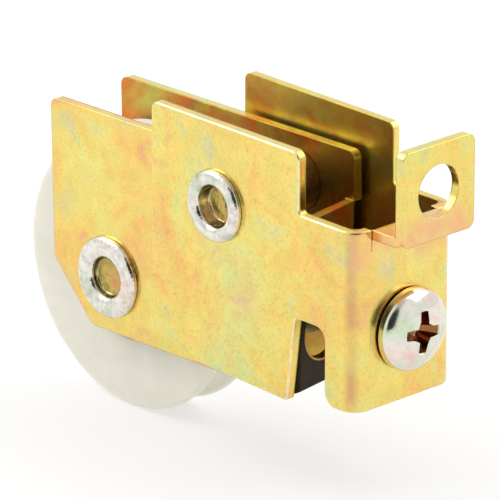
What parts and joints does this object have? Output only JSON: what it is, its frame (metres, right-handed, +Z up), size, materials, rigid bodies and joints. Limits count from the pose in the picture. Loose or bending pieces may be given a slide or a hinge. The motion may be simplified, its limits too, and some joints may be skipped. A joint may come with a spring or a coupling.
{
  "type": "sliding door roller",
  "caption": "Adjustable sliding door roller: a nylon ball-bearing wheel on a carriage that an end screw swings in a stamped steel housing.",
  "frame": {"origin": "centre of the mounting hole, on the outer face of the mounting ear", "axes": "+X out of the adjusting-screw end along the door's edge direction, +Z up, -Y the side with the rolled rivet rings"},
  "size_m": [0.0731, 0.0208, 0.05],
  "materials": {
    "zinc_yellow": "satin",
    "zinc_clear": "satin",
    "steel": "satin",
    "nylon": "satin"
  },
  "bodies": {
    "housing": {"housing": "zinc_yellow", "pivot_rivet": "zinc_clear", "pivot_spacer": "steel"},
    "carriage": {"carriage": "zinc_yellow", "axle_rivet": "zinc_clear", "axle_spacer_front": "steel", "axle_spacer_back": "steel", "bearing_inner_ring": "steel"},
    "wheel": {"wheel_tyre": "nylon", "bearing_outer_ring": "steel", "bearing_shield_front": "steel", "bearing_shield_back": "steel"},
    "ball_train": {"bearing_cage": "steel", "ball_1": "steel", "ball_2": "steel", "ball_3": "steel", "ball_4": "steel", "ball_5": "steel", "ball_6": "steel", "ball_7": "steel", "ball_8": "steel"},
    "screw": {"adjusting_screw": "zinc_clear"},
    "nut": {"adjusting_nut": "zinc_clear"}
  },
  "joints": [
    {"name": "carriage_tilt", "type": "hinge", "parent": "housing", "child": "carriage", "pos_m": [-0.031, -0.0004, -0.0079], "axis": [0, -1, 0], "range_deg": [-8, 14]},
    {"name": "wheel_spin", "type": "hinge", "parent": "carriage", "child": "wheel", "pos_m": [-0.05405, -0.0004, -0.02469], "axis": [0, 1, 0], "continuous": true},
    {"name": "ball_orbit", "type": "hinge", "parent": "carriage", "child": "ball_train", "pos_m": [-0.05405, -0.0004, -0.02469], "axis": [0, 1, 0], "continuous": true},
    {"name": "screw_turn", "type": "hinge", "parent": "housing", "child": "screw", "pos_m": [-0.0054, 0, -0.01985], "axis": [-1, 0, 0], "range_deg": [-570, 996]},
    {"name": "nut_travel", "type": "slide", "parent": "housing", "child": "nut", "axis": [1, 0, 0], "range_m": [-0.00168, 0.00293]}
  ],
  "couplings": [
    {"joint": "ball_orbit", "follows": "wheel_spin", "ratio": 0.3797},
    {"joint": "screw_turn", "follows": "carriage_tilt", "ratio": 70.968},
    {"joint": "nut_travel", "follows": "carriage_tilt", "m_per_rad": 0.01195}
  ]
}
